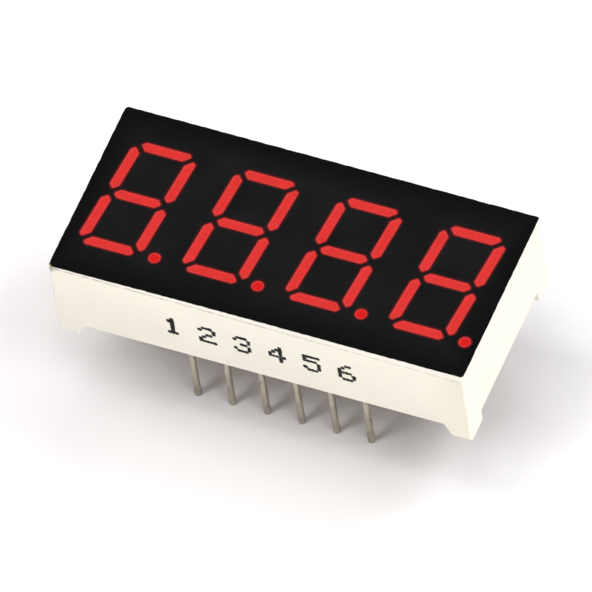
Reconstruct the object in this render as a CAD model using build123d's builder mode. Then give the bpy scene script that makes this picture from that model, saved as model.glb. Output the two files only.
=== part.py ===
from build123d import *
import os
from math import radians, sqrt, tan

os.makedirs("parts", exist_ok=True)

# A four-digit, seven-segment light-emitting display that stands on its twelve pins.
# Millimetres. X runs along the digits, +Y towards their tops and +Z out of the face.
# The origin is the middle of the plane of the pin tips.

# Digits, as they show on the face
digit_count = 4
digit_height = 9.16
digit_width = 4.78
digit_margin = 1.27
stroke = 0.76
segment_gap = 0.36
slant_angle = 5
corner_shift = 0.11
tip_blunt = 0.06
dot_diameter = 0.88
dot_gap = 0.49
dot_rise = 0.37
dot_margin = 0.915

# Case and its light pipes, which narrow from the face to the dice
end_margin = 0.05
side_margin = 1.92
body_height = 7.2
side_wall = 0.9
end_wall = 0.5
case_corner_radius = 0.2
foot_height = 1.05
foot_length = 1.48
foot_slope = 0.48
foot_width = 1.85
ink_thickness = 0.05
pipe_draft = 1

# Pins and their solder
pin_pitch = 2.54
pins_per_row = 6
pin_row_gap = 0.5
pin_diameter = 0.5
pin_reach = 6.4
hole_clearance = 0.15
solder_height = 0.4

# Circuit board, light-emitting dice and bond wires
board_recess = 0.3
board_thickness = 1.0
board_clearance = 0.15
die_size = 0.25
die_height = 0.16
wire_size = 0.03
wire_span = 0.6
loop_height = 0.12
loop_clearance = 0.12

# Centre lines of the segments, about the digit's own centre and before it is slanted
row = (digit_height - stroke) / 2
column = (digit_width - stroke) / 2
tip_gap = segment_gap / sqrt(2)
lean = tan(radians(slant_angle))

# Each segment's centre as shares of the column and row distances
segment_shares = {
    "a": (0, 1),
    "b": (1, 0.5),
    "c": (1, -0.5),
    "d": (0, -1),
    "e": (-1, -0.5),
    "f": (-1, 0.5),
    "g": (0, 0),
}
flat_segments = [name for name, shares in segment_shares.items() if shares[0] == 0]

# The dot stands clear of the digit's lower right corner and isn't slanted
dot_x = digit_width / 2 - row * lean + dot_gap + dot_diameter / 2
dot_y = dot_rise - digit_height / 2

# Plan sizes that follow
digit_pitch = digit_margin + digit_width / 2 + dot_x + dot_margin
row_spacing = digit_height + 2 * pin_row_gap
case_length = digit_count * digit_pitch + 2 * end_margin
case_width = row_spacing + 2 * side_margin
pocket_length = case_length - 2 * end_wall
pocket_width = case_width - 2 * side_wall
board_length = pocket_length - 2 * board_clearance
board_width = pocket_width - 2 * board_clearance
pin_radius = pin_diameter / 2
hole_radius = pin_radius + hole_clearance

# Levels that follow, from the pin tips up to the face
foot_bottom = pin_reach
rim = foot_bottom + foot_height
board_rear = rim + board_recess
board_front = board_rear + board_thickness
die_top = board_front + die_height
block_rear = die_top + loop_height + loop_clearance
face = foot_bottom + body_height
case_top = face - ink_thickness

first_digit_x = end_margin + digit_margin + digit_width / 2 - case_length / 2
digit_centres = [first_digit_x + digit_pitch * i for i in range(digit_count)]

# Pins are counted along the lower row from the left, then back along the upper row
pin_columns = [pin_pitch * (i - (pins_per_row - 1) / 2) for i in range(pins_per_row)]
pin_places = [(x, -row_spacing / 2) for x in pin_columns]
pin_places += [(x, row_spacing / 2) for x in reversed(pin_columns)]


def slanted(x, y):
    """A point of the upright digit, moved to its place in the slanted one."""
    return (x + y * lean, y)


def sign(share):
    """Which side of the digit's centre a share lies on."""
    return (share > 0) - (share < 0)


def strip_corners(half_length, start_shift, end_shift):
    """Outline of a segment along its own length, outer side up, counterclockwise.

    Both ends come to a blunt right-angled tip. A shifted tip leans to the outer side, which is
    how the segments meet at the four corners of a digit.
    """
    half_width = stroke / 2
    corners = []
    for side, shift in ((1, end_shift), (-1, start_shift)):
        tip = half_length + shift
        end = [
            (side * (tip - half_width - shift), -half_width),
            (side * (tip - tip_blunt), shift - tip_blunt),
            (side * (tip - tip_blunt), shift + tip_blunt),
            (side * (tip - half_width + shift), half_width),
        ]
        corners += end[::side]
    return corners


def segment_corners(name):
    """Outline of a segment about its digit's centre, counterclockwise."""
    column_share, row_share = segment_shares[name]
    centre_x = column * column_share
    centre_y = row * row_share
    if column_share == 0:
        shift = corner_shift * abs(row_share)
        strip = strip_corners(column - tip_gap, shift, shift)
        outward = sign(row_share) or 1
        corners = [slanted(centre_x + u, centre_y + outward * v) for u, v in strip]
        return corners[::outward]
    strip = strip_corners(row / 2 - tip_gap, 0, corner_shift)
    upward, outward = sign(row_share), sign(column_share)
    corners = [slanted(centre_x + outward * v, centre_y + upward * u) for u, v in strip]
    return corners[:: -outward * upward]


# Light pipes of one digit. The segments' are drafted upwards from the face and mirrored down
# into the case, and the dot's is a plain bore
with BuildPart() as raised_pipes:
    with BuildSketch(Plane.XY.offset(face)):
        for name in segment_shares:
            Polygon(*segment_corners(name), align=None)
    extrude(amount=face - block_rear, taper=pipe_draft)

with BuildPart() as digit_pipes:
    mirror(raised_pipes.part, about=Plane.XY.offset(face))
    with BuildSketch(Plane.XY.offset(block_rear)):
        with Locations((dot_x, dot_y)):
            Circle(dot_diameter / 2)
    extrude(amount=face - block_rear)

# Reflector case: a block pierced by the light pipes, with a rear pocket and a foot at each corner
with BuildPart() as reflector_case:
    with BuildSketch(Plane.XY.offset(foot_bottom)):
        RectangleRounded(case_length, case_width, case_corner_radius)
    extrude(amount=case_top - foot_bottom)
    with BuildSketch(Plane.XY.offset(foot_bottom)):
        Rectangle(pocket_length, pocket_width)
    extrude(amount=block_rear - foot_bottom, mode=Mode.SUBTRACT)
    # between the feet along the long sides, whose inner ends slope
    with BuildSketch(Plane.XZ):
        with BuildLine():
            Polyline(
                (foot_length - case_length / 2, foot_bottom),
                (foot_length + foot_slope - case_length / 2, rim),
                (case_length / 2 - foot_slope - foot_length, rim),
                (case_length / 2 - foot_length, foot_bottom),
                close=True,
            )
        make_face()
    extrude(amount=case_width, both=True, mode=Mode.SUBTRACT)
    # between the feet along the short sides, whose inner ends are square
    with BuildSketch(Plane.XY.offset(foot_bottom)):
        Rectangle(2 * case_length, case_width - 2 * foot_width)
    extrude(amount=foot_height, mode=Mode.SUBTRACT)
    with Locations(*[(digit_x, 0) for digit_x in digit_centres]):
        add(digit_pipes.part, mode=Mode.SUBTRACT)
reflector_case.part.label = "reflector_case"
export_step(reflector_case.part, "parts/reflector_case.step")

# Face ink: the black coat that leaves the windows clear
with BuildPart() as face_ink:
    with BuildSketch(Plane.XY.offset(case_top)):
        RectangleRounded(case_length, case_width, case_corner_radius)
    extrude(amount=ink_thickness)
    with Locations(*[(digit_x, 0) for digit_x in digit_centres]):
        add(digit_pipes.part, mode=Mode.SUBTRACT)
face_ink.part.label = "face_ink"
export_step(face_ink.part, "parts/face_ink.step")

# Circuit board, with a plated hole for each pin
with BuildPart() as circuit_board:
    with BuildSketch(Plane.XY.offset(board_rear)):
        Rectangle(board_length, board_width)
        with Locations(*pin_places):
            Circle(hole_radius, mode=Mode.SUBTRACT)
    extrude(amount=board_thickness)
circuit_board.part.label = "circuit_board"
export_step(circuit_board.part, "parts/circuit_board.step")

# Pins, each with the solder that fills its hole and climbs from the board's rear
for number, (x, y) in enumerate(pin_places, start=1):
    with BuildPart() as pin:
        with BuildSketch(Plane.XZ.offset(-y)):
            with BuildLine():
                Polyline(
                    (x, 0),
                    (x + pin_radius, 0),
                    (x + pin_radius, board_rear - solder_height),
                    (x + hole_radius, board_rear),
                    (x + hole_radius, board_front),
                    (x, board_front),
                    close=True,
                )
            make_face()
        revolve(axis=Axis((x, y, 0), (0, 0, 1)))
    pin.part.label = f"pin_{number}"
    export_step(pin.part, f"parts/pin_{number}.step")

# Dice, one under the middle of each light pipe, and the bond wires of each digit
dice = []
bond_wires = []
for digit, digit_x in enumerate(digit_centres, start=1):
    places = {"dot": (digit_x + dot_x, dot_y)}
    for name, (column_share, row_share) in segment_shares.items():
        x, y = slanted(column * column_share, row * row_share)
        places[name] = (digit_x + x, y)

    for name, (x, y) in places.items():
        with BuildPart() as die:
            with BuildSketch(Plane.XY.offset(board_front)):
                with Locations((x, y)):
                    Rectangle(die_size, die_size)
            extrude(amount=die_height)
        die.part.label = f"digit_{digit}_led_{name}"
        export_step(die.part, f"parts/digit_{digit}_led_{name}.step")
        dice.append(die.part)

    # each wire rises from its die's top and slopes to the board, along its segment
    with BuildPart() as wires:
        for name, (x, y) in places.items():
            along = (1, 0, 0) if name in flat_segments else (0, 1, 0)
            across = (0, -1, 0) if name in flat_segments else (1, 0, 0)
            with BuildSketch(Plane((x, y, board_front), x_dir=along, z_dir=across)):
                with BuildLine():
                    Polyline(
                        (-wire_size / 2, die_height),
                        (-wire_size / 2, die_height + loop_height),
                        (wire_span + wire_size / 2, 0),
                        (wire_span - wire_size / 2, 0),
                        (wire_size / 2, die_height + loop_height - wire_size),
                        (wire_size / 2, die_height),
                        close=True,
                    )
                make_face()
            extrude(amount=wire_size / 2, both=True)
    wires.part.label = f"digit_{digit}_bond_wires"
    export_step(wires.part, f"parts/digit_{digit}_bond_wires.step")
    bond_wires.append(wires.part)

# Resin: one casting that fills the light pipes, beds the dice and grips the board's edges
with BuildPart() as resin_fill:
    with BuildSketch(Plane.XY.offset(board_rear)):
        Rectangle(pocket_length, pocket_width)
    extrude(amount=block_rear - board_rear)
    with BuildSketch(Plane.XY.offset(board_rear)):
        Rectangle(board_length, board_width)
    extrude(amount=board_thickness, mode=Mode.SUBTRACT)
    with Locations(*[(digit_x, 0) for digit_x in digit_centres]):
        add(digit_pipes.part)
    add([*dice, *bond_wires], mode=Mode.SUBTRACT)
resin_fill.part.label = "resin_fill"
export_step(resin_fill.part, "parts/resin_fill.step")
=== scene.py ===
import math

import bmesh
import bpy
from bpy.props import FloatProperty, FloatVectorProperty, IntProperty, PointerProperty
from mathutils import Euler, Matrix, Vector


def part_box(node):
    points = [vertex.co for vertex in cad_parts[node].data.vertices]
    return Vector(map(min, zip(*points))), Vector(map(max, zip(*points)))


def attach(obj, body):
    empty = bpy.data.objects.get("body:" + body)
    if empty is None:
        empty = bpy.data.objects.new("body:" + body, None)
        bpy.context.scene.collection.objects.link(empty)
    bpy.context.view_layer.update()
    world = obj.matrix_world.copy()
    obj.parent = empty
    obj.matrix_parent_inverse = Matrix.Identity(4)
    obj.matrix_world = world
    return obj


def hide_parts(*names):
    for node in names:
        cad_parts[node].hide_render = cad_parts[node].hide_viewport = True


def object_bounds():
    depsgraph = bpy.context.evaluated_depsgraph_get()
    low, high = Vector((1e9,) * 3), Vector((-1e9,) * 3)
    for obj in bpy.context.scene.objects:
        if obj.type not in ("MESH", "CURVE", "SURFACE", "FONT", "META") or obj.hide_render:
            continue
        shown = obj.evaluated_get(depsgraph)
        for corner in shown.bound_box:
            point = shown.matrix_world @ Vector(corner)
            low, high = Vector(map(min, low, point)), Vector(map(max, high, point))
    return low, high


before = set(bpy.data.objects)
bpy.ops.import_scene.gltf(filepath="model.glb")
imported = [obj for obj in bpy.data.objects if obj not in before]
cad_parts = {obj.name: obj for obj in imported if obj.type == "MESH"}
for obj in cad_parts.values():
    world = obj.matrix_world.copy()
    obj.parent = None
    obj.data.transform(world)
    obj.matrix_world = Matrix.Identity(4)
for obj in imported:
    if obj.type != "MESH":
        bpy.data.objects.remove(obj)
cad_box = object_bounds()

bl_info = {
    "name": "Four-digit display",
    "version": (1, 0, 0),
    "blender": (4, 5, 0),
    "location": "View3D > Sidebar > Display",
    "description": "Dresses a four-digit seven-segment display and sets its stage",
    "category": "Object",
}

MM = 0.001
PINS_PER_ROW = 6


# Properties

class DisplayDigits(bpy.types.PropertyGroup):
    """Sizes of the digits as they show on the face."""

    count: IntProperty(name="Digits", description="Digits along the face", default=4)
    height: FloatProperty(
        name="Height", description="Height of a digit", default=9.16 * MM, unit="LENGTH")
    width: FloatProperty(
        name="Width", description="Width of an upright digit", default=4.78 * MM, unit="LENGTH")
    margin: FloatProperty(
        name="Margin", description="Clear face left of each digit", default=1.27 * MM, unit="LENGTH")
    stroke: FloatProperty(
        name="Stroke", description="Width of a segment", default=0.76 * MM, unit="LENGTH")
    gap: FloatProperty(
        name="Gap", description="Clear ink between two segments", default=0.36 * MM, unit="LENGTH")
    slant: FloatProperty(
        name="Slant", description="Lean of the digits to the right", default=math.radians(5),
        subtype="ANGLE")
    corner_shift: FloatProperty(
        name="Corner shift", description="How far a corner tip leans outwards",
        default=0.11 * MM, unit="LENGTH")
    corner_round: FloatProperty(
        name="Corner rounding", description="Radius of a window's corners",
        default=0.16 * MM, unit="LENGTH")
    dot: FloatProperty(
        name="Dot", description="Diameter of a decimal dot", default=0.88 * MM, unit="LENGTH")
    dot_gap: FloatProperty(
        name="Dot gap", description="Clear ink between a digit and its dot",
        default=0.49 * MM, unit="LENGTH")
    dot_rise: FloatProperty(
        name="Dot rise", description="Dot's centre above the digit's foot",
        default=0.37 * MM, unit="LENGTH")
    dot_margin: FloatProperty(
        name="Dot margin", description="Clear face right of each dot's centre",
        default=0.915 * MM, unit="LENGTH")
    end_margin: FloatProperty(
        name="End margin", description="Face added at each end", default=0.05 * MM, unit="LENGTH")


class DisplayBody(bpy.types.PropertyGroup):
    """Fine sizes of the coat, the resin, the pins, the pads, the print and the case's lip."""

    ink_corners: FloatVectorProperty(
        name="Ink corners",
        description="Radius of the coat's corners, from front left round to rear left",
        size=4, default=(0.46 * MM, 0.26 * MM, 0.12 * MM, 0.32 * MM), unit="LENGTH")
    ink_bow: FloatProperty(
        name="Ink bow", description="How far the middle of the coat's front edge stands back",
        default=0.05 * MM, unit="LENGTH")
    ink_ragged: FloatProperty(
        name="Ragged edge", description="How far the coat's edge wanders inwards",
        default=0.038 * MM, unit="LENGTH")
    resin_sink: FloatProperty(
        name="Resin sink", description="How far the resin's skin sinks at the middle of a window",
        default=0.012 * MM, unit="LENGTH")
    # the ink's windows and the resin's pipes both reach out by this width, and the resin is coloured
    # dark red in that band
    rim_width: FloatProperty(
        name="Rim width", description="Width of the thin ink round a window, where red shows through",
        default=0.09 * MM, unit="LENGTH")
    pin_diameter: FloatProperty(
        name="Pin diameter", description="Diameter of a pin's shank", default=0.5 * MM, unit="LENGTH")
    pin_uneven: FloatProperty(
        name="Pin unevenness", description="How far the tin on a pin rises and falls",
        default=0.03 * MM, unit="LENGTH")
    tip_round: FloatProperty(
        name="Tip rounding", description="Radius at a pin's lower end", default=0.07 * MM, unit="LENGTH")
    pin_taper: FloatProperty(
        name="Pin taper", description="Share of its width that a pin loses from its tip to the solder",
        default=0.16)
    solder_height: FloatProperty(
        name="Solder height", description="How far the solder climbs a pin",
        default=0.4 * MM, unit="LENGTH")
    pad_width: FloatProperty(
        name="Pad width", description="Width of the tinned ring round a pin's hole",
        default=0.26 * MM, unit="LENGTH")
    pad_height: FloatProperty(
        name="Pad height", description="Thickness of the tinned ring", default=0.035 * MM, unit="LENGTH")
    print_height: FloatProperty(
        name="Print height", description="Height of the printed pin numbers",
        default=1.5 * MM, unit="LENGTH")
    print_drop: FloatProperty(
        name="Print drop", description="Middle of the print below the face",
        default=3.25 * MM, unit="LENGTH")
    lip_drop: FloatProperty(
        name="Lip line", description="Moulding line below the face, at its left end",
        default=0.16 * MM, unit="LENGTH")
    seed: IntProperty(name="Seed", description="Seed of everything uneven", default=7)


class DisplayColours(bpy.types.PropertyGroup):
    """Colours of the finishes."""

    case: FloatVectorProperty(
        name="Case", description="Cream white plastic", subtype="COLOR", default=(0.87, 0.828, 0.722))
    # a darker, yellower cream that the long walls turn to towards their right ends
    case_right_end: FloatVectorProperty(
        name="Aged case", description="Yellower plastic at the right ends of the long walls",
        subtype="COLOR", default=(0.82, 0.772, 0.645))
    # a paler cream for the strip between the face and the moulding line
    lip: FloatVectorProperty(
        name="Lip", description="Cleaner plastic above the moulding line", subtype="COLOR",
        default=(0.91, 0.868, 0.79))
    # dark colour of the broken line below the face and of the dirt at the front left corner
    case_dark_mark: FloatVectorProperty(
        name="Case stain", description="Dirt in the moulding line", subtype="COLOR",
        default=(0.2, 0.16, 0.06))
    ink: FloatVectorProperty(
        name="Ink", description="Black coat", subtype="COLOR", default=(0.0062, 0.0057, 0.0057))
    resin: FloatVectorProperty(
        name="Resin", description="Red diffusing resin", subtype="COLOR", default=(0.59, 0.0255, 0.0222))
    resin_edge: FloatVectorProperty(
        name="Resin edge", description="Paler red along the edge of a segment", subtype="COLOR",
        default=(0.572, 0.041, 0.0405))
    resin_dot: FloatVectorProperty(
        name="Resin dot", description="Deeper red of the decimal dots", subtype="COLOR",
        default=(0.558, 0.0055, 0.0045))
    # dark red of the band round each window, on the resin
    resin_rim: FloatVectorProperty(
        name="Resin rim", description="Red that shows through the ink's thin edge", subtype="COLOR",
        default=(0.085, 0.0035, 0.003))
    tin: FloatVectorProperty(
        name="Tin", description="Tinned pins and solder", subtype="COLOR", default=(0.5, 0.458, 0.38))
    board: FloatVectorProperty(
        name="Board", description="Brown laminate", subtype="COLOR", default=(0.14, 0.1, 0.065))
    die: FloatVectorProperty(
        name="Dice", description="Light-emitting dice", subtype="COLOR", default=(0.2, 0.16, 0.15))
    wire: FloatVectorProperty(
        name="Wires", description="Gold bond wires", subtype="COLOR", default=(0.9, 0.62, 0.22))
    print: FloatVectorProperty(
        name="Print", description="Print on the wall", subtype="COLOR", default=(0.006, 0.0055, 0.0055))
    floor: FloatVectorProperty(
        name="Floor", description="Pale floor", subtype="COLOR", default=(0.94, 0.918, 0.918))


class DisplayStage(bpy.types.PropertyGroup):
    """Camera and light."""

    aim: FloatVectorProperty(
        name="Aim", description="Point of the face at the middle of the picture", subtype="XYZ",
        unit="LENGTH", default=(1.8646 * MM, -4.1825 * MM, cad_box[1][2]))
    azimuth: FloatProperty(
        name="Azimuth", description="Camera's bearing from the front, to the right",
        default=math.radians(29.5199), subtype="ANGLE")
    elevation: FloatProperty(
        name="Elevation", description="Camera's height above the face",
        default=math.radians(53.5696), subtype="ANGLE")
    roll: FloatProperty(
        name="Roll", description="Camera's turn about its own axis",
        default=math.radians(9.316), subtype="ANGLE")
    distance: FloatProperty(
        name="Distance", description="Camera to the face", default=1.6573, unit="LENGTH")
    lens: FloatProperty(
        name="Lens", description="Focal length in millimetres on a 36 mm sensor", default=1500.0)
    light: FloatProperty(name="Light", description="Share of every panel's power", default=1.0)
    glow: FloatProperty(
        name="Floor glow", description="Light that the camera alone sees on the floor", default=0.005)
    panel_distance: FloatProperty(
        name="Panel distance", description="Panels to the object", default=0.8, unit="LENGTH")
    panel_size: FloatProperty(
        name="Panel size", description="Width of a panel", default=0.3, unit="LENGTH")


# Shapes that the pieces share

def sign(share):
    """Which side of the digit's centre a share lies on."""
    return (share > 0) - (share < 0)


# Each segment's centre as shares of the digit's column and row distances
SEGMENTS = {
    "a": (0, 1),
    "b": (1, 0.5),
    "c": (1, -0.5),
    "d": (0, -1),
    "e": (-1, -0.5),
    "f": (-1, 0.5),
    "g": (0, 0),
}


def segment_outline(digits, name, rim):
    """Counterclockwise corners of a segment and its rim about the digit's centre, with sharp tips."""
    column_share, row_share = SEGMENTS[name]
    half = digits.stroke / 2 + rim
    row = (digits.height - digits.stroke) / 2
    column = (digits.width - digits.stroke) / 2
    tip_gap = (digits.gap - 2 * rim) / math.sqrt(2)
    lean = math.tan(digits.slant)
    flat = column_share == 0
    end_shift = digits.corner_shift * (abs(row_share) if flat else 1)
    start_shift = end_shift if flat else 0
    reach = (column if flat else row / 2) - tip_gap
    strip = []
    for side, shift in ((1, end_shift), (-1, start_shift)):
        tip = reach + shift
        end = [
            (side * (tip - half - shift), -half),
            (side * tip, shift),
            (side * (tip - half + shift), half),
        ]
        strip += end[::side]
    if flat:
        outward = sign(row_share) or 1
        upright = [(u, row * row_share + outward * v) for u, v in strip][::outward]
    else:
        upward, outward = sign(row_share), sign(column_share)
        upright = [(column * column_share + outward * v, row * row_share + upward * u) for u, v in strip]
        upright = upright[:: -outward * upward]
    return [(x + y * lean, y) for x, y in upright]


def digit_layout(digits):
    """Centres of the digits, and the dot's place about a digit's centre."""
    row = (digits.height - digits.stroke) / 2
    dot_x = digits.width / 2 - row * math.tan(digits.slant) + digits.dot_gap + digits.dot / 2
    dot_y = digits.dot_rise - digits.height / 2
    pitch = digits.margin + digits.width / 2 + dot_x + digits.dot_margin
    length = digits.count * pitch + 2 * digits.end_margin
    first = digits.end_margin + digits.margin + digits.width / 2 - length / 2
    return [first + pitch * i for i in range(digits.count)], (dot_x, dot_y)


def rounded(corners, radii, steps=5):
    """The outline with each corner turned into a short arc of its own radius."""
    points = []
    count = len(corners)
    for i, (corner, radius) in enumerate(zip(corners, radii)):
        here = Vector(corner)
        back = (Vector(corners[i - 1]) - here).normalized()
        ahead = (Vector(corners[(i + 1) % count]) - here).normalized()
        half_angle = back.angle(ahead) / 2
        run = radius / math.tan(half_angle)
        centre = here + (back + ahead).normalized() * (radius / math.sin(half_angle))
        first = here + back * run - centre
        last = here + ahead * run - centre
        turn = first.angle_signed(last)
        for step in range(steps + 1):
            points.append(centre + Matrix.Rotation(-turn * step / steps, 2) @ first)
    return [tuple(p) for p in points]


def rectangle(low, high):
    """Counterclockwise corners of a box seen from above."""
    return [(low[0], low[1]), (high[0], low[1]), (high[0], high[1]), (low[0], high[1])]


def circle(centre, radius, steps=48):
    """Counterclockwise points of a circle."""
    angles = [2 * math.pi * i / steps for i in range(steps)]
    return [(centre[0] + radius * math.cos(a), centre[1] + radius * math.sin(a)) for a in angles]


def window_outlines(digits, rim):
    """Rounded outlines of all windows on the face with their rims: segments and dots apart."""
    centres, (dot_x, dot_y) = digit_layout(digits)
    segments = []
    dots = []
    for digit_x in centres:
        for name in SEGMENTS:
            corners = segment_outline(digits, name, rim)
            outline = rounded(corners, [digits.corner_round + rim] * len(corners))
            segments.append([(digit_x + x, y) for x, y in outline])
        dots.append(circle((digit_x + dot_x, dot_y), digits.dot / 2 + rim))
    return segments, dots


def pin_places():
    """Centres of the pins, in the order of their numbers."""
    places = []
    for number in range(1, 13):
        low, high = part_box(f"pin_{number}")
        places.append(((low[0] + high[0]) / 2, (low[1] + high[1]) / 2))
    return places


def new_object(name, mesh):
    """An object at the origin for a mesh whose points hold its place."""
    piece = bpy.data.objects.new(name, mesh)
    bpy.context.scene.collection.objects.link(piece)
    return piece


def loops_mesh(name, loops):
    """A flat mesh of closed edge loops."""
    mesh = bpy.data.meshes.new(name)
    points = []
    edges = []
    for loop in loops:
        start = len(points)
        points += [(x, y, 0.0) for x, y in loop]
        edges += [(start + j, start + (j + 1) % len(loop)) for j in range(len(loop))]
    mesh.from_pydata(points, edges, [])
    return mesh


def bridge(form, lower, upper):
    """Faces between two rings that have as many points."""
    count = len(lower)
    faces = []
    for i in range(count):
        j = (i + 1) % count
        faces.append(form.faces.new((lower[i], lower[j], upper[j], upper[i])))
    return faces


# Node trees

class NodeMaker:
    """Adds nodes to a tree and links them, with the inputs given by name or place."""

    def __init__(self, tree):
        self.tree = tree

    def add(self, kind, inputs=None, **options):
        """A node of that kind. An input that is a socket is linked, and any other is a value."""
        node = self.tree.nodes.new(kind)
        for key, value in options.items():
            setattr(node, key, value)
        for key, value in (inputs or {}).items():
            socket = node.inputs[key]
            if isinstance(value, bpy.types.NodeSocket):
                self.tree.links.new(value, socket)
            else:
                socket.default_value = value
        return node

    def math(self, operation, *values, clamp=False):
        """A Math node's result."""
        node = self.add("ShaderNodeMath", dict(enumerate(values)), operation=operation, use_clamp=clamp)
        return node.outputs[0]


def geometry_tree(name, sockets):
    """A node group with a geometry input and output, and named number inputs."""
    tree = bpy.data.node_groups.new(name, "GeometryNodeTree")
    tree.interface.new_socket("Geometry", in_out="INPUT", socket_type="NodeSocketGeometry")
    for label, kind in sockets:
        tree.interface.new_socket(label, in_out="INPUT", socket_type=kind)
    tree.interface.new_socket("Geometry", in_out="OUTPUT", socket_type="NodeSocketGeometry")
    return tree, NodeMaker(tree)


def close_tree(make, geometry, material):
    """Ends a tree in real mesh of one material."""
    realized = make.add("GeometryNodeRealizeInstances", {"Geometry": geometry})
    painted = make.add(
        "GeometryNodeSetMaterial", {"Geometry": realized.outputs[0], "Material": material})
    output = make.add("NodeGroupOutput")
    make.tree.links.new(painted.outputs[0], output.inputs[0])


def pushed_out(make, mesh, direction, height):
    """The faces of a flat mesh moved up or down by a height, with walls round them."""
    node = make.add("GeometryNodeExtrudeMesh", {
        "Mesh": mesh,
        "Offset": (0.0, 0.0, direction),
        "Offset Scale": height,
        "Individual": False,
    })
    return node.outputs[0]


def grow(name, mesh, tree, values):
    """The plain mesh object that a tree makes from a mesh with those inputs."""
    seedling = new_object(name + "_base", mesh)
    modifier = seedling.modifiers.new("grow", "NODES")
    modifier.node_group = tree
    for item in tree.interface.items_tree:
        if item.in_out == "INPUT" and item.name in values:
            modifier[item.identifier] = values[item.name]
    graph = bpy.context.evaluated_depsgraph_get()
    grown = bpy.data.meshes.new_from_object(seedling.evaluated_get(graph))
    if not grown.polygons:
        raise RuntimeError(f"{name}: the tree made no faces")
    bpy.data.objects.remove(seedling)
    grown.name = name
    return new_object(name, grown)


def ink_tree(material):
    """Fills the face between its border and the windows, and gives the coat its thickness."""
    tree, make = geometry_tree("Ink coat", [
        ("Level", "NodeSocketFloat"),
        ("Thickness", "NodeSocketFloat"),
        ("Ragged Edge", "NodeSocketFloat"),
        ("Seed", "NodeSocketFloat"),
    ])
    source = make.add("NodeGroupInput")
    position = make.add("GeometryNodeInputPosition").outputs[0]
    inward = make.add(
        "GeometryNodeInputNamedAttribute", {"Name": "inward"}, data_type="FLOAT_VECTOR").outputs[0]
    bumps = make.add(
        "ShaderNodeTexNoise",
        {"Vector": position, "W": source.outputs["Seed"], "Scale": 1900.0, "Detail": 4.0},
        noise_dimensions="4D")
    bite = make.math("SUBTRACT", bumps.outputs[0], 0.42, clamp=True)
    bite = make.math("MULTIPLY", bite, 4.0)
    reach = make.math("MULTIPLY", source.outputs["Ragged Edge"], bite)
    offset = make.add(
        "ShaderNodeVectorMath", {0: inward, "Scale": reach}, operation="SCALE").outputs[0]
    ragged = make.add(
        "GeometryNodeSetPosition", {"Geometry": source.outputs["Geometry"], "Offset": offset})
    curves = make.add("GeometryNodeMeshToCurve", {"Mesh": ragged.outputs[0]})
    filled = make.add("GeometryNodeFillCurve", {"Curve": curves.outputs[0]})
    raised = pushed_out(make, filled.outputs[0], 1.0, source.outputs["Thickness"])
    under = make.add("GeometryNodeFlipFaces", {"Mesh": filled.outputs[0]}).outputs[0]
    both = make.add("GeometryNodeJoinGeometry")
    for side in (raised, under):
        tree.links.new(side, both.inputs[0])
    level = make.add("ShaderNodeCombineXYZ", {"Z": source.outputs["Level"]})
    lifted = make.add(
        "GeometryNodeSetPosition", {"Geometry": both.outputs[0], "Offset": level.outputs[0]})
    welded = make.add(
        "GeometryNodeMergeByDistance", {"Geometry": lifted.outputs[0], "Distance": 0.001 * MM})
    flat = make.add(
        "GeometryNodeSetShadeSmooth", {"Geometry": welded.outputs[0], "Shade Smooth": False})
    close_tree(make, flat.outputs[0], material)
    return tree


def pad_tree(material):
    """Lays a tinned ring on the board round each pin's hole."""
    tree, make = geometry_tree("Solder pads", [
        ("Hole Radius", "NodeSocketFloat"),
        ("Width", "NodeSocketFloat"),
        ("Height", "NodeSocketFloat"),
    ])
    source = make.add("NodeGroupInput")
    outer = make.math("ADD", source.outputs["Hole Radius"], source.outputs["Width"])
    rings = make.add("GeometryNodeJoinGeometry")
    for radius in (source.outputs["Hole Radius"], outer):
        ring = make.add("GeometryNodeCurvePrimitiveCircle", {"Resolution": 40, "Radius": radius})
        tree.links.new(ring.outputs[0], rings.inputs[0])
    disc = make.add("GeometryNodeFillCurve", {"Curve": rings.outputs[0]})
    ring_pad = pushed_out(make, disc.outputs[0], -1.0, source.outputs["Height"])
    placed = make.add(
        "GeometryNodeInstanceOnPoints", {"Points": source.outputs["Geometry"], "Instance": ring_pad})
    close_tree(make, placed.outputs[0], material)
    return tree


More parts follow.
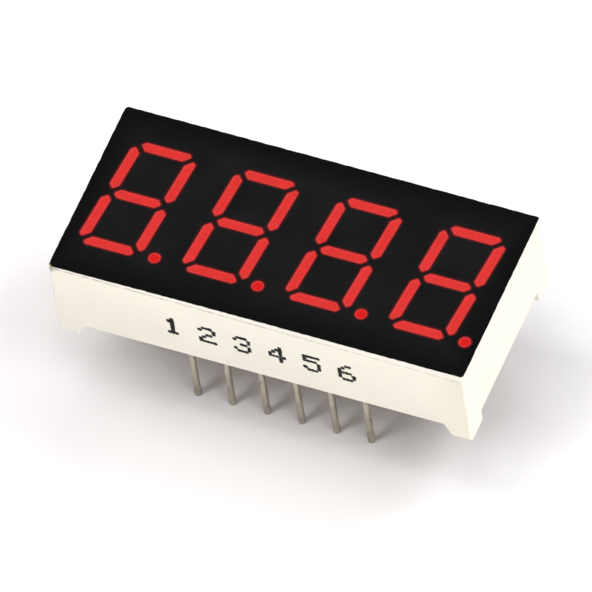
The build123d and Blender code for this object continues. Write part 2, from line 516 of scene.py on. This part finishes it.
def pin_tree(material):
    """Stands copies of one pin in two rows, and lets the tin on them rise and fall below the board."""
    tree, make = geometry_tree("Pin rows", [
        ("Count", "NodeSocketInt"),
        ("Pitch", "NodeSocketFloat"),
        ("Row Spacing", "NodeSocketFloat"),
        ("Board Level", "NodeSocketFloat"),
        ("Unevenness", "NodeSocketFloat"),
        ("Seed", "NodeSocketFloat"),
    ])
    source = make.add("NodeGroupInput")
    gaps = make.math("SUBTRACT", source.outputs["Count"], 1.0)
    grid = make.add("GeometryNodeMeshGrid", {
        "Size X": make.math("MULTIPLY", gaps, source.outputs["Pitch"]),
        "Size Y": source.outputs["Row Spacing"],
        "Vertices X": source.outputs["Count"],
        "Vertices Y": 2,
    })
    placed = make.add(
        "GeometryNodeInstanceOnPoints",
        {"Points": grid.outputs[0], "Instance": source.outputs["Geometry"]})
    rows = make.add("GeometryNodeRealizeInstances", {"Geometry": placed.outputs[0]})
    position = make.add("GeometryNodeInputPosition").outputs[0]
    level = make.add("ShaderNodeSeparateXYZ", {0: position}).outputs[2]
    lumps = make.add(
        "ShaderNodeTexNoise",
        {"Vector": position, "W": source.outputs["Seed"], "Scale": 1100.0, "Detail": 2.0},
        noise_dimensions="4D")
    board_gap = 0.05 * MM
    free_top = make.math("SUBTRACT", source.outputs["Board Level"], board_gap)
    free = make.math("LESS_THAN", level, free_top)
    rise = make.math("SUBTRACT", lumps.outputs[0], 0.5)
    rise = make.math("MULTIPLY", rise, source.outputs["Unevenness"])
    normal = make.add("GeometryNodeInputNormal").outputs[0]
    sideways = make.add(
        "ShaderNodeVectorMath", {0: normal, 1: (1.0, 1.0, 0.0)}, operation="MULTIPLY").outputs[0]
    offset = make.add(
        "ShaderNodeVectorMath", {0: sideways, "Scale": make.math("MULTIPLY", rise, free)},
        operation="SCALE").outputs[0]
    uneven = make.add(
        "GeometryNodeSetPosition", {"Geometry": rows.outputs[0], "Offset": offset})
    close_tree(make, uneven.outputs[0], material)
    return tree


def print_tree(material):
    """Sets a flat ink dot on each point of the print, in uneven sizes."""
    tree, make = geometry_tree("Printed dots", [
        ("Dot Radius", "NodeSocketFloat"),
        ("Thickness", "NodeSocketFloat"),
        ("Seed", "NodeSocketInt"),
    ])
    source = make.add("NodeGroupInput")
    dot = make.add(
        "GeometryNodeMeshCircle", {"Vertices": 10, "Radius": source.outputs["Dot Radius"]},
        fill_type="NGON")
    raised = pushed_out(make, dot.outputs[0], 1.0, source.outputs["Thickness"])
    size = make.add(
        "FunctionNodeRandomValue",
        {"Min": (0.85, 0.85, 1.0), "Max": (1.2, 1.2, 1.0), "Seed": source.outputs["Seed"]},
        data_type="FLOAT_VECTOR")
    placed = make.add(
        "GeometryNodeInstanceOnPoints",
        {
            "Points": source.outputs["Geometry"],
            "Instance": raised,
            "Rotation": (math.radians(90), 0.0, 0.0),
            "Scale": size.outputs[0],
        })
    close_tree(make, placed.outputs[0], material)
    return tree


# Materials

def surface(name):
    """A new material, its node maker, its shader and its object coordinates."""
    material = bpy.data.materials.new(name)
    material.use_nodes = True
    tree = material.node_tree
    tree.nodes.clear()
    make = NodeMaker(tree)
    shader = make.add("ShaderNodeBsdfPrincipled")
    output = make.add("ShaderNodeOutputMaterial")
    tree.links.new(shader.outputs[0], output.inputs[0])
    place = make.add("ShaderNodeTexCoord").outputs["Object"]
    return material, make, shader, place


def noise(make, place, scale, detail=3.0, roughness=0.5):
    """Even noise from 0 to 1 at that many waves a metre."""
    node = make.add(
        "ShaderNodeTexNoise",
        {"Vector": place, "Scale": scale, "Detail": detail, "Roughness": roughness})
    return node.outputs[0]


def ramp(make, value, low, high, start=0.0, end=1.0):
    """A value between two numbers, spread from start to end and held outside them."""
    node = make.add(
        "ShaderNodeMapRange",
        {"Value": value, "From Min": low, "From Max": high, "To Min": start, "To Max": end})
    return node.outputs[0]


def blend(make, share, first, second):
    """A colour between two, each a colour or a socket."""
    node = make.add("ShaderNodeMix", data_type="RGBA")
    for socket, value in zip((node.inputs[0], node.inputs[6], node.inputs[7]), (share, first, second)):
        if isinstance(value, bpy.types.NodeSocket):
            make.tree.links.new(value, socket)
        else:
            socket.default_value = value if isinstance(value, float) else (*value, 1.0)
    return node.outputs[2]


def tone(colour, factor):
    """A colour made lighter or darker."""
    return tuple(min(1.0, c * factor) for c in colour)


def finish(make, shader, colour, roughness, height, depth):
    """Links colour, roughness and a bump of that depth to the shader."""
    links = make.tree.links
    links.new(colour, shader.inputs["Base Color"])
    links.new(roughness, shader.inputs["Roughness"])
    bump = make.add("ShaderNodeBump", {"Height": height, "Strength": 1.0, "Distance": depth})
    links.new(bump.outputs[0], shader.inputs["Normal"])


def case_material(colours, body, box):
    """Cream plastic, faintly mottled, with painted light that makes the walls lighter towards the face
    and the end walls lighter all over, and with a pale lip and a dark broken moulding line below the
    face.
    """
    material, make, shader, place = surface("cream_plastic")
    low, high = box
    axes = make.add("ShaderNodeSeparateXYZ", {0: place}).outputs
    cloud = noise(make, place, 260.0, 4.0)
    grain = noise(make, place, 9000.0, 2.0)
    mottle = ramp(make, cloud, 0.3, 0.7)
    # painted shade and painted light: a darker and a lighter copy of the cream, mottled alike
    lower = blend(make, mottle, tone(colours.case, 0.91), tone(colours.case, 0.955))
    upper = blend(make, mottle, tone(colours.case, 1.01), tone(colours.case, 1.05))
    # painted light: the walls are painted lighter towards the face and darker towards the floor, and the
    # end walls, where the light falls brightest, are painted lighter all over
    pale_from, pale_to = 1.0 * MM, 0.5 * MM
    height = ramp(make, axes[2], low[2] + pale_from, high[2] - pale_to)
    end_from, end_to = 0.22 * MM, 0.03 * MM
    ends = ramp(make, make.math("ABSOLUTE", axes[0]), high[0] - end_from, high[0] - end_to)
    long_walls = make.math("SUBTRACT", 1.0, ends)
    colour = blend(make, make.math("MAXIMUM", height, ends), lower, upper)
    # the long walls turn darker and yellower towards their right ends
    yellow_from, yellow_to = 3.0 * MM, 0.4 * MM
    right_end_share = ramp(make, axes[0], high[0] - yellow_from, high[0] - yellow_to)
    right_end_share = make.math("MULTIPLY", right_end_share, long_walls)
    colour = blend(make, right_end_share, colour, colours.case_right_end)
    # the moulding line falls to the right, wanders, is broken and fades
    line_fall, line_wander = 0.46 * MM, 0.14 * MM
    wander = make.math("SUBTRACT", noise(make, place, 300.0, 2.0), 0.5)
    wander = make.math("MULTIPLY", wander, line_wander)
    drop = ramp(make, axes[0], low[0], high[0], body.lip_drop, body.lip_drop + line_fall)
    below = make.math("SUBTRACT", make.math("ADD", high[2], wander), make.math("ADD", axes[2], drop))
    lip_blur = 0.06 * MM
    lip = make.math("MULTIPLY", ramp(make, below, -lip_blur, 0.0, 0.6, 0.0), long_walls)
    colour = blend(make, lip, colour, colours.lip)
    line_core, line_edge = 0.03 * MM, 0.13 * MM
    line = ramp(make, make.math("ABSOLUTE", below), line_core, line_edge, 1.0, 0.0)
    breaks = ramp(make, noise(make, place, 1700.0, 4.0, 0.7), 0.4, 0.62, 0.15, 1.0)
    fade = ramp(make, axes[0], low[0], high[0], 0.58, 0.3)
    line = make.math("MULTIPLY", make.math("MULTIPLY", line, breaks), fade)
    colour = blend(make, line, colour, colours.case_dark_mark)
    # the burr at the front left corner of the face has taken up dirt
    corner = make.add(
        "ShaderNodeVectorMath", {0: place, 1: (low[0], low[1], high[2])}, operation="DISTANCE")
    burr_core, burr_edge = 0.3 * MM, 0.8 * MM
    near = ramp(make, corner.outputs["Value"], burr_core, burr_edge, 1.0, 0.0)
    patches = ramp(make, noise(make, place, 3600.0, 4.0), 0.35, 0.6, 0.35, 1.0)
    dirt = make.math("MULTIPLY", near, patches)
    colour = blend(make, dirt, colour, tone(colours.case_dark_mark, 0.8))
    rough = ramp(make, cloud, 0.2, 0.8, 0.42, 0.56)
    finish(make, shader, colour, rough, grain, depth=0.006 * MM)
    shader.inputs["Specular IOR Level"].default_value = 0.35
    return material


def ink_material(colours, box):
    """Matt black coat with faint clouds and a fine tooth, deepest towards its border."""
    material, make, shader, place = surface("black_coat")
    axes = make.add("ShaderNodeSeparateXYZ", {0: place}).outputs
    cloud = noise(make, place, 330.0, 5.0, 0.6)
    tooth = noise(make, place, 14000.0, 2.0)
    from_end = make.math("SUBTRACT", box[1][0], make.math("ABSOLUTE", axes[0]))
    from_side = make.math("SUBTRACT", box[1][1], make.math("ABSOLUTE", axes[1]))
    deep_to, clouded_from = 0.4 * MM, 2.4 * MM
    inside = ramp(make, make.math("MINIMUM", from_end, from_side), deep_to, clouded_from)
    mottle = ramp(make, cloud, 0.3, 0.7)
    middle = blend(make, mottle, tone(colours.ink, 0.8), tone(colours.ink, 1.5))
    colour = blend(make, inside, tone(colours.ink, 0.4), middle)
    rough = ramp(make, cloud, 0.25, 0.75, 0.5, 0.66)
    finish(make, shader, colour, rough, tooth, depth=0.004 * MM)
    shader.inputs["Specular IOR Level"].default_value = 0.05
    return material


def resin_material(colours):
    """Red diffusing resin: paler at a window's edge, deeper in the dots and dark red in the band round
    each window.
    """
    material, make, shader, place = surface("red_diffuser")
    rim, edge, dot = [
        make.add("ShaderNodeAttribute", attribute_name=name).outputs["Fac"]
        for name in ("rim", "edge", "dot")
    ]
    cloud = noise(make, place, 900.0, 4.0)
    specks = noise(make, place, 9000.0, 3.0)
    mottle = ramp(make, cloud, 0.3, 0.7)
    colour = blend(make, mottle, tone(colours.resin, 0.95), tone(colours.resin, 1.04))
    colour = blend(make, dot, colour, colours.resin_dot)
    colour = blend(make, edge, colour, colours.resin_edge)
    colour = blend(make, rim, colour, colours.resin_rim)
    rough = ramp(make, cloud, 0.2, 0.8, 0.36, 0.5)
    finish(make, shader, colour, rough, specks, depth=0.003 * MM)
    shader.inputs["Specular IOR Level"].default_value = 0.12
    return material


def tin_material(colours, name, blot_scale):
    """Dull tin, blotted where it ran, with painted reflection: darker towards the tips and lighter
    higher up.
    """
    material, make, shader, place = surface(name)
    level = make.add("ShaderNodeSeparateXYZ", {0: place}).outputs[2]
    stretched = make.add("ShaderNodeMapping", {"Vector": place, "Scale": (1.0, 1.0, 0.4)}).outputs[0]
    blots = noise(make, stretched, blot_scale, 5.0, 0.62)
    fine = noise(make, place, 7000.0, 3.0)
    mottle = ramp(make, blots, 0.32, 0.68)
    # painted reflection: the tips get a darker copy of the tin for the shaded floor they mirror, the
    # upper shank a lighter copy for the lit floor
    tips = blend(make, mottle, tone(colours.tin, 0.72), tone(colours.tin, 1.04))
    upper = blend(make, mottle, tone(colours.tin, 0.86), tone(colours.tin, 1.2))
    dark_to, pale_from = 0.5 * MM, 5.0 * MM
    colour = blend(make, ramp(make, level, dark_to, pale_from), tips, upper)
    rough = ramp(make, blots, 0.3, 0.7, 0.24, 0.42)
    finish(make, shader, colour, rough, fine, depth=0.01 * MM)
    shader.inputs["Metallic"].default_value = 1.0
    return material


def board_material(colours):
    """Brown laminate, whose woven cloth shows faintly."""
    material, make, shader, place = surface("brown_laminate")
    axes = make.add("ShaderNodeSeparateXYZ", {0: place}).outputs
    thread_pitch = 0.6 * MM
    turns = 2 * math.pi / thread_pitch
    warp, weft = [make.math("SINE", make.math("MULTIPLY", axis, turns)) for axis in axes[:2]]
    cloth = make.math("MULTIPLY", warp, weft)
    cloud = noise(make, place, 300.0, 4.0)
    fine = noise(make, place, 6000.0, 3.0)
    raised = ramp(make, cloth, -1.0, 1.0)
    colour = blend(make, raised, tone(colours.board, 0.86), tone(colours.board, 1.08))
    colour = blend(make, ramp(make, cloud, 0.3, 0.7, 0.0, 0.5), colour, tone(colours.board, 1.3))
    height = make.math("ADD", make.math("MULTIPLY", cloth, 0.5), fine)
    rough = ramp(make, cloud, 0.2, 0.8, 0.32, 0.48)
    finish(make, shader, colour, rough, height, depth=0.006 * MM)
    return material


def plain_detail_material(name, colour, metallic, rough, scale):
    """A small part's own colour, uneven by a little."""
    material, make, shader, place = surface(name)
    cloud = noise(make, place, scale, 3.0)
    mixed = blend(make, cloud, tone(colour, 0.75), tone(colour, 1.2))
    uneven = ramp(make, cloud, 0.2, 0.8, rough * 0.8, rough * 1.2)
    finish(make, shader, mixed, uneven, cloud, depth=0.004 * MM)
    shader.inputs["Metallic"].default_value = metallic
    return material


def floor_material(colours, glow):
    """Pale paper, white to the camera where nothing shades it."""
    material, make, shader, place = surface("pale_floor")
    cloud = noise(make, place, 30.0, 2.0)
    colour = blend(make, cloud, tone(colours.floor, 0.995), tone(colours.floor, 1.005))
    make.tree.links.new(colour, shader.inputs["Base Color"])
    shader.inputs["Roughness"].default_value = 0.9
    shader.inputs["Specular IOR Level"].default_value = 0.0
    seen = make.add("ShaderNodeLightPath").outputs["Is Camera Ray"]
    make.tree.links.new(make.math("MULTIPLY", seen, glow), shader.inputs["Emission Strength"])
    shader.inputs["Emission Color"].default_value = (1.0, 1.0, 1.0, 1.0)
    return material


def paint(name, material):
    """Gives a solid of the frame its finish."""
    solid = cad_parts[name]
    if not solid.data.materials:
        solid.data.materials.append(material)
    for slot in solid.material_slots:
        slot.material = material


# Operators

class DISPLAY_OT_case(bpy.types.Operator):
    """Finish the case in cream plastic"""

    bl_idname = "display.case"
    bl_label = "Case"

    def execute(self, context):
        scene = context.scene
        material = case_material(scene.display_colours, scene.display_body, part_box("reflector_case"))
        paint("reflector_case", material)
        return {"FINISHED"}


class DISPLAY_OT_ink(bpy.types.Operator):
    """Coat the face in black ink, with a rounded window for each segment and dot"""

    bl_idname = "display.ink"
    bl_label = "Face ink"

    # the border's points, and the middle and reach of the bow along the front edge
    border_step = 0.1 * MM
    bow_middle = -2.5 * MM
    bow_reach = 11.0 * MM
    edge_tolerance = 0.001 * MM

    def execute(self, context):
        scene = context.scene
        body = scene.display_body
        low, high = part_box("face_ink")
        half_x, half_y = high[0], high[1]
        corners = rectangle((-half_x, -half_y), (half_x, half_y))
        border = self.divided(rounded(corners, body.ink_corners, steps=8))
        border = [self.bowed(point, half_y, body.ink_bow) for point in border]
        segments, dots = window_outlines(scene.display_digits, body.rim_width)
        mesh = loops_mesh("ink_loops", [border, *segments, *dots])
        # the border's points come first, and the windows' points keep an inward pull of zero
        inward = mesh.attributes.new("inward", "FLOAT_VECTOR", "POINT")
        for i, (x, y) in enumerate(border):
            on_long_edge = half_y - abs(y) < half_x - abs(x)
            pull_x = 0.0 if on_long_edge else -math.copysign(1.0, x)
            pull_y = -math.copysign(1.0, y) if on_long_edge else 0.0
            inward.data[i].vector = (pull_x, pull_y, 0.0)
        material = ink_material(scene.display_colours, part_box("face_ink"))
        piece = grow("ink_coat", mesh, ink_tree(material), {
            "Level": low[2],
            "Thickness": high[2] - low[2],
            "Ragged Edge": body.ink_ragged,
            "Seed": float(body.seed),
        })
        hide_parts("face_ink")
        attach(piece, "root")
        return {"FINISHED"}

    def bowed(self, point, half_y, bow):
        """The point set back where it lies on the front edge, most at the middle of the bow."""
        x, y = point
        if y > self.edge_tolerance - half_y:
            return point
        away = (x - self.bow_middle) / self.bow_reach
        return (x, y + bow * max(0.0, 1.0 - away ** 2))

    def divided(self, outline):
        """The outline with points added along its long runs."""
        points = []
        for i, start in enumerate(outline):
            here, ahead = Vector(start), Vector(outline[(i + 1) % len(outline)])
            parts = max(1, round((ahead - here).length / self.border_step))
            points += [tuple(here.lerp(ahead, j / parts)) for j in range(parts)]
        return points


class DISPLAY_OT_resin(bpy.types.Operator):
    """Cast the red resin: a light pipe under each window, the bed and the edge round the board"""

    bl_idname = "display.resin"
    bl_label = "Resin"

    # resin over the board, how far a pipe narrows at its foot, and the skin's edge below the ink's top
    bed_depth = 0.4 * MM
    foot_share = 0.93
    skin_drop = 0.002 * MM
    # steps in from a window's edge: the share of the rim's width, the marks of the rim and of the
    # paler edge, and the share of the sink
    skin_steps = ((1.1, 1.0, 1.0, 0.1), (0.3, 0.0, 1.0, 0.3), (1.1, 0.0, 0.0, 1.0))

    def execute(self, context):
        scene = context.scene
        body = scene.display_body
        low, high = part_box("resin_fill")
        board_low, board_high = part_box("circuit_board")
        bed_top = board_high[2] + self.bed_depth
        mesh = bpy.data.meshes.new("resin_casting")
        form = bmesh.new()
        marks = {name: form.verts.layers.float.new(name) for name in ("rim", "edge", "dot")}
        for dot, outlines in enumerate(window_outlines(scene.display_digits, body.rim_width)):
            for outline in outlines:
                self.pipe(form, marks, outline, float(dot), bed_top, high[2], body)
        self.bed(form, low, high, board_low, board_high, bed_top)
        form.normal_update()
        form.to_mesh(mesh)
        form.free()
        mesh.materials.append(resin_material(scene.display_colours))
        piece = new_object("resin_casting", mesh)
        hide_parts("resin_fill")
        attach(piece, "root")
        return {"FINISHED"}

    def pipe(self, form, marks, outline, dot, bottom, top, body):
        """One closed light pipe, with a skin that dips from its rim."""
        middle = sum((Vector(p) for p in outline), Vector((0.0, 0.0))) / len(outline)
        foot = [form.verts.new((*middle.lerp(Vector(p), self.foot_share), bottom)) for p in outline]
        rim_top = top - self.skin_drop
        edge = [form.verts.new((x, y, rim_top)) for x, y in outline]
        form.faces.new(foot[::-1])
        bridge(form, foot, edge)
        skin = form.faces.new(edge)
        skin.normal_update()
        for corner in edge:
            corner[marks["rim"]] = 1.0
        for width, rim, pale, dip in self.skin_steps:
            bmesh.ops.inset_individual(
                form, faces=[skin], thickness=body.rim_width * width, use_even_offset=True)
            for corner in skin.verts:
                corner[marks["rim"]] = rim
                corner[marks["edge"]] = pale
                corner[marks["dot"]] = dot
                corner.co.z = rim_top - body.resin_sink * dip

    def bed(self, form, low, high, board_low, board_high, bed_top):
        """The slab over the board and the band that grips the board's edges."""
        outer = rectangle(low, high)
        inner = rectangle(board_low, board_high)
        rows = [
            [form.verts.new((x, y, level)) for x, y in ring]
            for ring, level in (
                (outer, bed_top),
                (outer, board_low[2]),
                (inner, board_low[2]),
                (inner, board_high[2]),
            )
        ]
        form.faces.new(rows[0])
        for upper, lower in zip(rows, rows[1:]):
            bridge(form, lower, upper)
        form.faces.new(rows[-1][::-1])


class DISPLAY_OT_pins(bpy.types.Operator):
    """Stand the twelve tinned pins in their rows"""

    bl_idname = "display.pins"
    bl_label = "Pins"

    # rows of points up a pin's nose, shank and solder, and points round it
    nose_steps = 4
    shank_steps = 40
    solder_steps = 8
    solder_hollow = 2.2
    sides = 28

    def execute(self, context):
        scene = context.scene
        body = scene.display_body
        places = pin_places()
        low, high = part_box("pin_1")
        board_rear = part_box("circuit_board")[0][2]
        mesh = self.one_pin(body, (high[0] - low[0]) / 2, board_rear, high[2])
        material = tin_material(scene.display_colours, "dull_tin", blot_scale=2300.0)
        piece = grow("tinned_pins", mesh, pin_tree(material), {
            "Count": PINS_PER_ROW,
            "Pitch": places[1][0] - places[0][0],
            "Row Spacing": places[-1][1] - places[0][1],
            "Board Level": board_rear,
            "Unevenness": body.pin_uneven,
            "Seed": float(body.seed),
        })
        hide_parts(*[f"pin_{number}" for number in range(1, 13)])
        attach(piece, "root")
        return {"FINISHED"}

    def one_pin(self, body, hole_radius, board_rear, top):
        """A round-nosed shank, the solder that climbs it and the filled hole, turned about Z."""
        radius = body.pin_diameter / 2
        nose = body.tip_round
        foot = board_rear - body.solder_height
        profile = []
        for i in range(self.nose_steps + 1):
            angle = math.radians(90) * i / self.nose_steps
            profile.append((radius - nose * (1 - math.sin(angle)), nose * (1 - math.cos(angle))))
        for i in range(1, self.shank_steps + 1):
            climb = i / self.shank_steps
            profile.append((radius * (1 - body.pin_taper * climb), nose + (foot - nose) * climb))
        neck = profile[-1][0]
        for i in range(1, self.solder_steps + 1):
            climb = i / self.solder_steps
            spread = (hole_radius - neck) * climb ** self.solder_hollow
            profile.append((neck + spread, foot + body.solder_height * climb))
        profile.append((hole_radius, top))
        form = bmesh.new()
        rings = [
            [form.verts.new((x, y, z)) for x, y in circle((0.0, 0.0), ring_radius, self.sides)]
            for ring_radius, z in profile
        ]
        form.faces.new(rings[0][::-1])
        form.faces.new(rings[-1])
        for lower, upper in zip(rings, rings[1:]):
            for face in bridge(form, lower, upper):
                face.smooth = True
        mesh = bpy.data.meshes.new("one_pin")
        form.to_mesh(mesh)
        form.free()
        return mesh


class DISPLAY_OT_board(bpy.types.Operator):
    """Finish the circuit board, and ring its holes with solder"""

    bl_idname = "display.board"
    bl_label = "Board and pads"

    def execute(self, context):
        body, colours = context.scene.display_body, context.scene.display_colours
        paint("circuit_board", board_material(colours))
        board_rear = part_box("circuit_board")[0][2]
        pin_low, pin_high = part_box("pin_1")
        mesh = bpy.data.meshes.new("pad_points")
        mesh.from_pydata([(x, y, board_rear) for x, y in pin_places()], [], [])
        material = tin_material(colours, "bright_solder", blot_scale=2200.0)
        piece = grow("solder_pads", mesh, pad_tree(material), {
            "Hole Radius": (pin_high[0] - pin_low[0]) / 2,
            "Width": body.pad_width,
            "Height": body.pad_height,
        })
        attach(piece, "root")
        return {"FINISHED"}


class DISPLAY_OT_dice(bpy.types.Operator):
    """Finish the light-emitting dice and their bond wires"""

    bl_idname = "display.dice"
    bl_label = "Dice and wires"

    def execute(self, context):
        colours = context.scene.display_colours
        die = plain_detail_material("grey_die", colours.die, metallic=0.0, rough=0.25, scale=9000.0)
        gold = plain_detail_material("gold_wire", colours.wire, metallic=1.0, rough=0.25, scale=9000.0)
        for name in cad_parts:
            if "_led_" in name:
                paint(name, die)
            elif name.endswith("_bond_wires"):
                paint(name, gold)
        return {"FINISHED"}


class DISPLAY_OT_numbers(bpy.types.Operator):
    """Print the pin numbers of the front row on the front wall"""

    bl_idname = "display.numbers"
    bl_label = "Pin numbers"

    glyphs = {
        1: ("..#..", ".##..", "..#..", "..#..", "..#..", "..#..", ".###."),
        2: (".###.", "#...#", "....#", "..##.", ".#...", "#....", "#####"),
        3: (".###.", "#...#", "....#", "..##.", "....#", "#...#", ".###."),
        4: ("...#.", "..##.", ".#.#.", "#..#.", "#####", "...#.", "...#."),
        5: ("#####", "#....", "####.", "....#", "....#", "#...#", ".###."),
        6: ("..##.", ".#...", "#....", "####.", "#...#", "#...#", ".###."),
    }
    rows, columns = 7, 5
    # a dot's radius as a share of the step between dots, its thickness and its root in the wall
    dot_share = 0.68
    thickness = 0.006 * MM
    root = 0.004 * MM

    def execute(self, context):
        scene = context.scene
        body = scene.display_body
        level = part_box("reflector_case")[0][1] + self.root
        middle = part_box("face_ink")[1][2] - body.print_drop
        step = body.print_height / (self.rows - 1)
        points = []
        for number, (pin_x, _) in enumerate(pin_places()[:PINS_PER_ROW], start=1):
            for row, line in enumerate(self.glyphs[number]):
                for column, mark in enumerate(line):
                    if mark == "#":
                        x = pin_x + (column - self.columns // 2) * step
                        z = middle + (self.rows // 2 - row) * step
                        points.append((x, level, z))
        mesh = bpy.data.meshes.new("number_points")
        mesh.from_pydata(points, [], [])
        material = plain_detail_material(
            "wall_print", scene.display_colours.print, metallic=0.0, rough=0.8, scale=5000.0)
        piece = grow("pin_numbers", mesh, print_tree(material), {
            "Dot Radius": step * self.dot_share,
            "Thickness": self.thickness,
            "Seed": body.seed,
        })
        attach(piece, "root")
        return {"FINISHED"}


class DISPLAY_OT_stage(bpy.types.Operator):
    """Set the floor, the lamps, the surroundings and the camera"""

    bl_idname = "display.stage"
    bl_label = "Stage"

    # bearing to the right of the front and height above the floor in degrees, power, height as a
    # share of the width, colour
    panels = {
        "low_panel": (50, 8, 2.92, 0.45, (0.98, 0.99, 1.0)),
        "front_left_panel": (-35, 52, 1.78, 1.0, (1.0, 1.0, 1.0)),
        "left_panel": (-90, 52, 1.35, 1.0, (1.0, 1.0, 1.0)),
        "right_panel": (75, 52, 1.3, 1.0, (0.98, 0.99, 1.0)),
        "rear_right_panel": (130, 52, 2.35, 1.0, (0.96, 0.99, 1.0)),
        "rear_panel": (180, 52, 0.96, 1.0, (1.0, 1.0, 1.0)),
        "top_left_panel": (-100, 75, 1.0, 1.0, (1.0, 1.0, 1.0)),
        "top_front_panel": (20, 75, 1.0, 1.0, (1.0, 1.0, 1.0)),
    }
    floor_reach = 1.5
    sensor_width = 36.0
    clip_end = 10.0

    def execute(self, context):
        scene = context.scene
        stage = scene.display_stage
        scene.view_settings.view_transform = "Standard"
        self.floor(scene.display_colours, stage)
        self.surroundings(scene)
        for name, panel in self.panels.items():
            self.lamp(stage, name, *panel)
        self.camera(scene, stage)
        return {"FINISHED"}

    def floor(self, colours, stage):
        """A wide sheet at the pins' tips."""
        mesh = bpy.data.meshes.new("floor")
        reach = self.floor_reach
        corners = rectangle((-reach, -reach), (reach, reach))
        mesh.from_pydata([(x, y, 0.0) for x, y in corners], [], [(0, 1, 2, 3)])
        mesh.materials.append(floor_material(colours, stage.glow))
        new_object("floor", mesh)

    def surroundings(self, scene):
        """White to the camera, and no light of its own."""
        world = bpy.data.worlds.new("white_room")
        world.use_nodes = True
        world.node_tree.nodes.clear()
        make = NodeMaker(world.node_tree)
        seen = make.add("ShaderNodeLightPath").outputs["Is Camera Ray"]
        sky = make.add("ShaderNodeBackground", {"Color": (1.0, 1.0, 1.0, 1.0), "Strength": seen})
        output = make.add("ShaderNodeOutputWorld")
        world.node_tree.links.new(sky.outputs[0], output.inputs[0])
        scene.world = world

    def lamp(self, stage, name, bearing, height, power, height_share, colour):
        """A soft panel that faces the object."""
        turn = Euler((math.radians(90 - height), 0.0, math.radians(bearing)))
        light = bpy.data.lights.new(name, "AREA")
        light.shape = "RECTANGLE"
        light.size, light.size_y = stage.panel_size, stage.panel_size * height_share
        light.energy = power * stage.light
        light.color = colour
        lamp = bpy.data.objects.new(name, light)
        lamp.location = turn.to_matrix() @ Vector((0.0, 0.0, stage.panel_distance))
        lamp.rotation_euler = turn
        bpy.context.scene.collection.objects.link(lamp)

    def camera(self, scene, stage):
        """The photograph's view: a long lens, high to the right, with a little roll."""
        data = bpy.data.cameras.new("camera")
        data.lens = stage.lens
        data.sensor_width = self.sensor_width
        data.clip_end = self.clip_end
        camera = bpy.data.objects.new("camera", data)
        turn = Euler((math.pi / 2 - stage.elevation, 0.0, stage.azimuth)).to_matrix()
        turn = turn @ Matrix.Rotation(-stage.roll, 3, "Z")
        place = Vector(stage.aim) + turn @ Vector((0.0, 0.0, stage.distance))
        camera.matrix_world = Matrix.Translation(place) @ turn.to_4x4()
        scene.collection.objects.link(camera)
        scene.camera = camera


OPERATORS = (
    DISPLAY_OT_case,
    DISPLAY_OT_ink,
    DISPLAY_OT_resin,
    DISPLAY_OT_pins,
    DISPLAY_OT_board,
    DISPLAY_OT_dice,
    DISPLAY_OT_numbers,
    DISPLAY_OT_stage,
)


class DISPLAY_PT_pieces(bpy.types.Panel):
    """Lists the pieces of the display"""

    bl_idname = "DISPLAY_PT_pieces"
    bl_label = "Display"
    bl_space_type = "VIEW_3D"
    bl_region_type = "UI"
    bl_category = "Display"

    def draw(self, context):
        for operator in OPERATORS:
            self.layout.operator(operator.bl_idname)


GROUPS = {
    "display_digits": DisplayDigits,
    "display_body": DisplayBody,
    "display_colours": DisplayColours,
    "display_stage": DisplayStage,
}
CLASSES = (*GROUPS.values(), *OPERATORS, DISPLAY_PT_pieces)


def register():
    """Adds the classes, and the settings to the scene."""
    for item in CLASSES:
        bpy.utils.register_class(item)
    for name, group in GROUPS.items():
        setattr(bpy.types.Scene, name, PointerProperty(type=group))


def unregister():
    """Takes the settings and the classes away again."""
    for name in GROUPS:
        delattr(bpy.types.Scene, name)
    for item in reversed(CLASSES):
        bpy.utils.unregister_class(item)


def main():
    """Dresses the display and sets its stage."""
    register()
    bpy.ops.display.case()
    bpy.ops.display.ink()
    bpy.ops.display.resin()
    bpy.ops.display.pins()
    bpy.ops.display.board()
    bpy.ops.display.dice()
    bpy.ops.display.numbers()
    bpy.ops.display.stage()


if __name__ == "__main__":
    main()
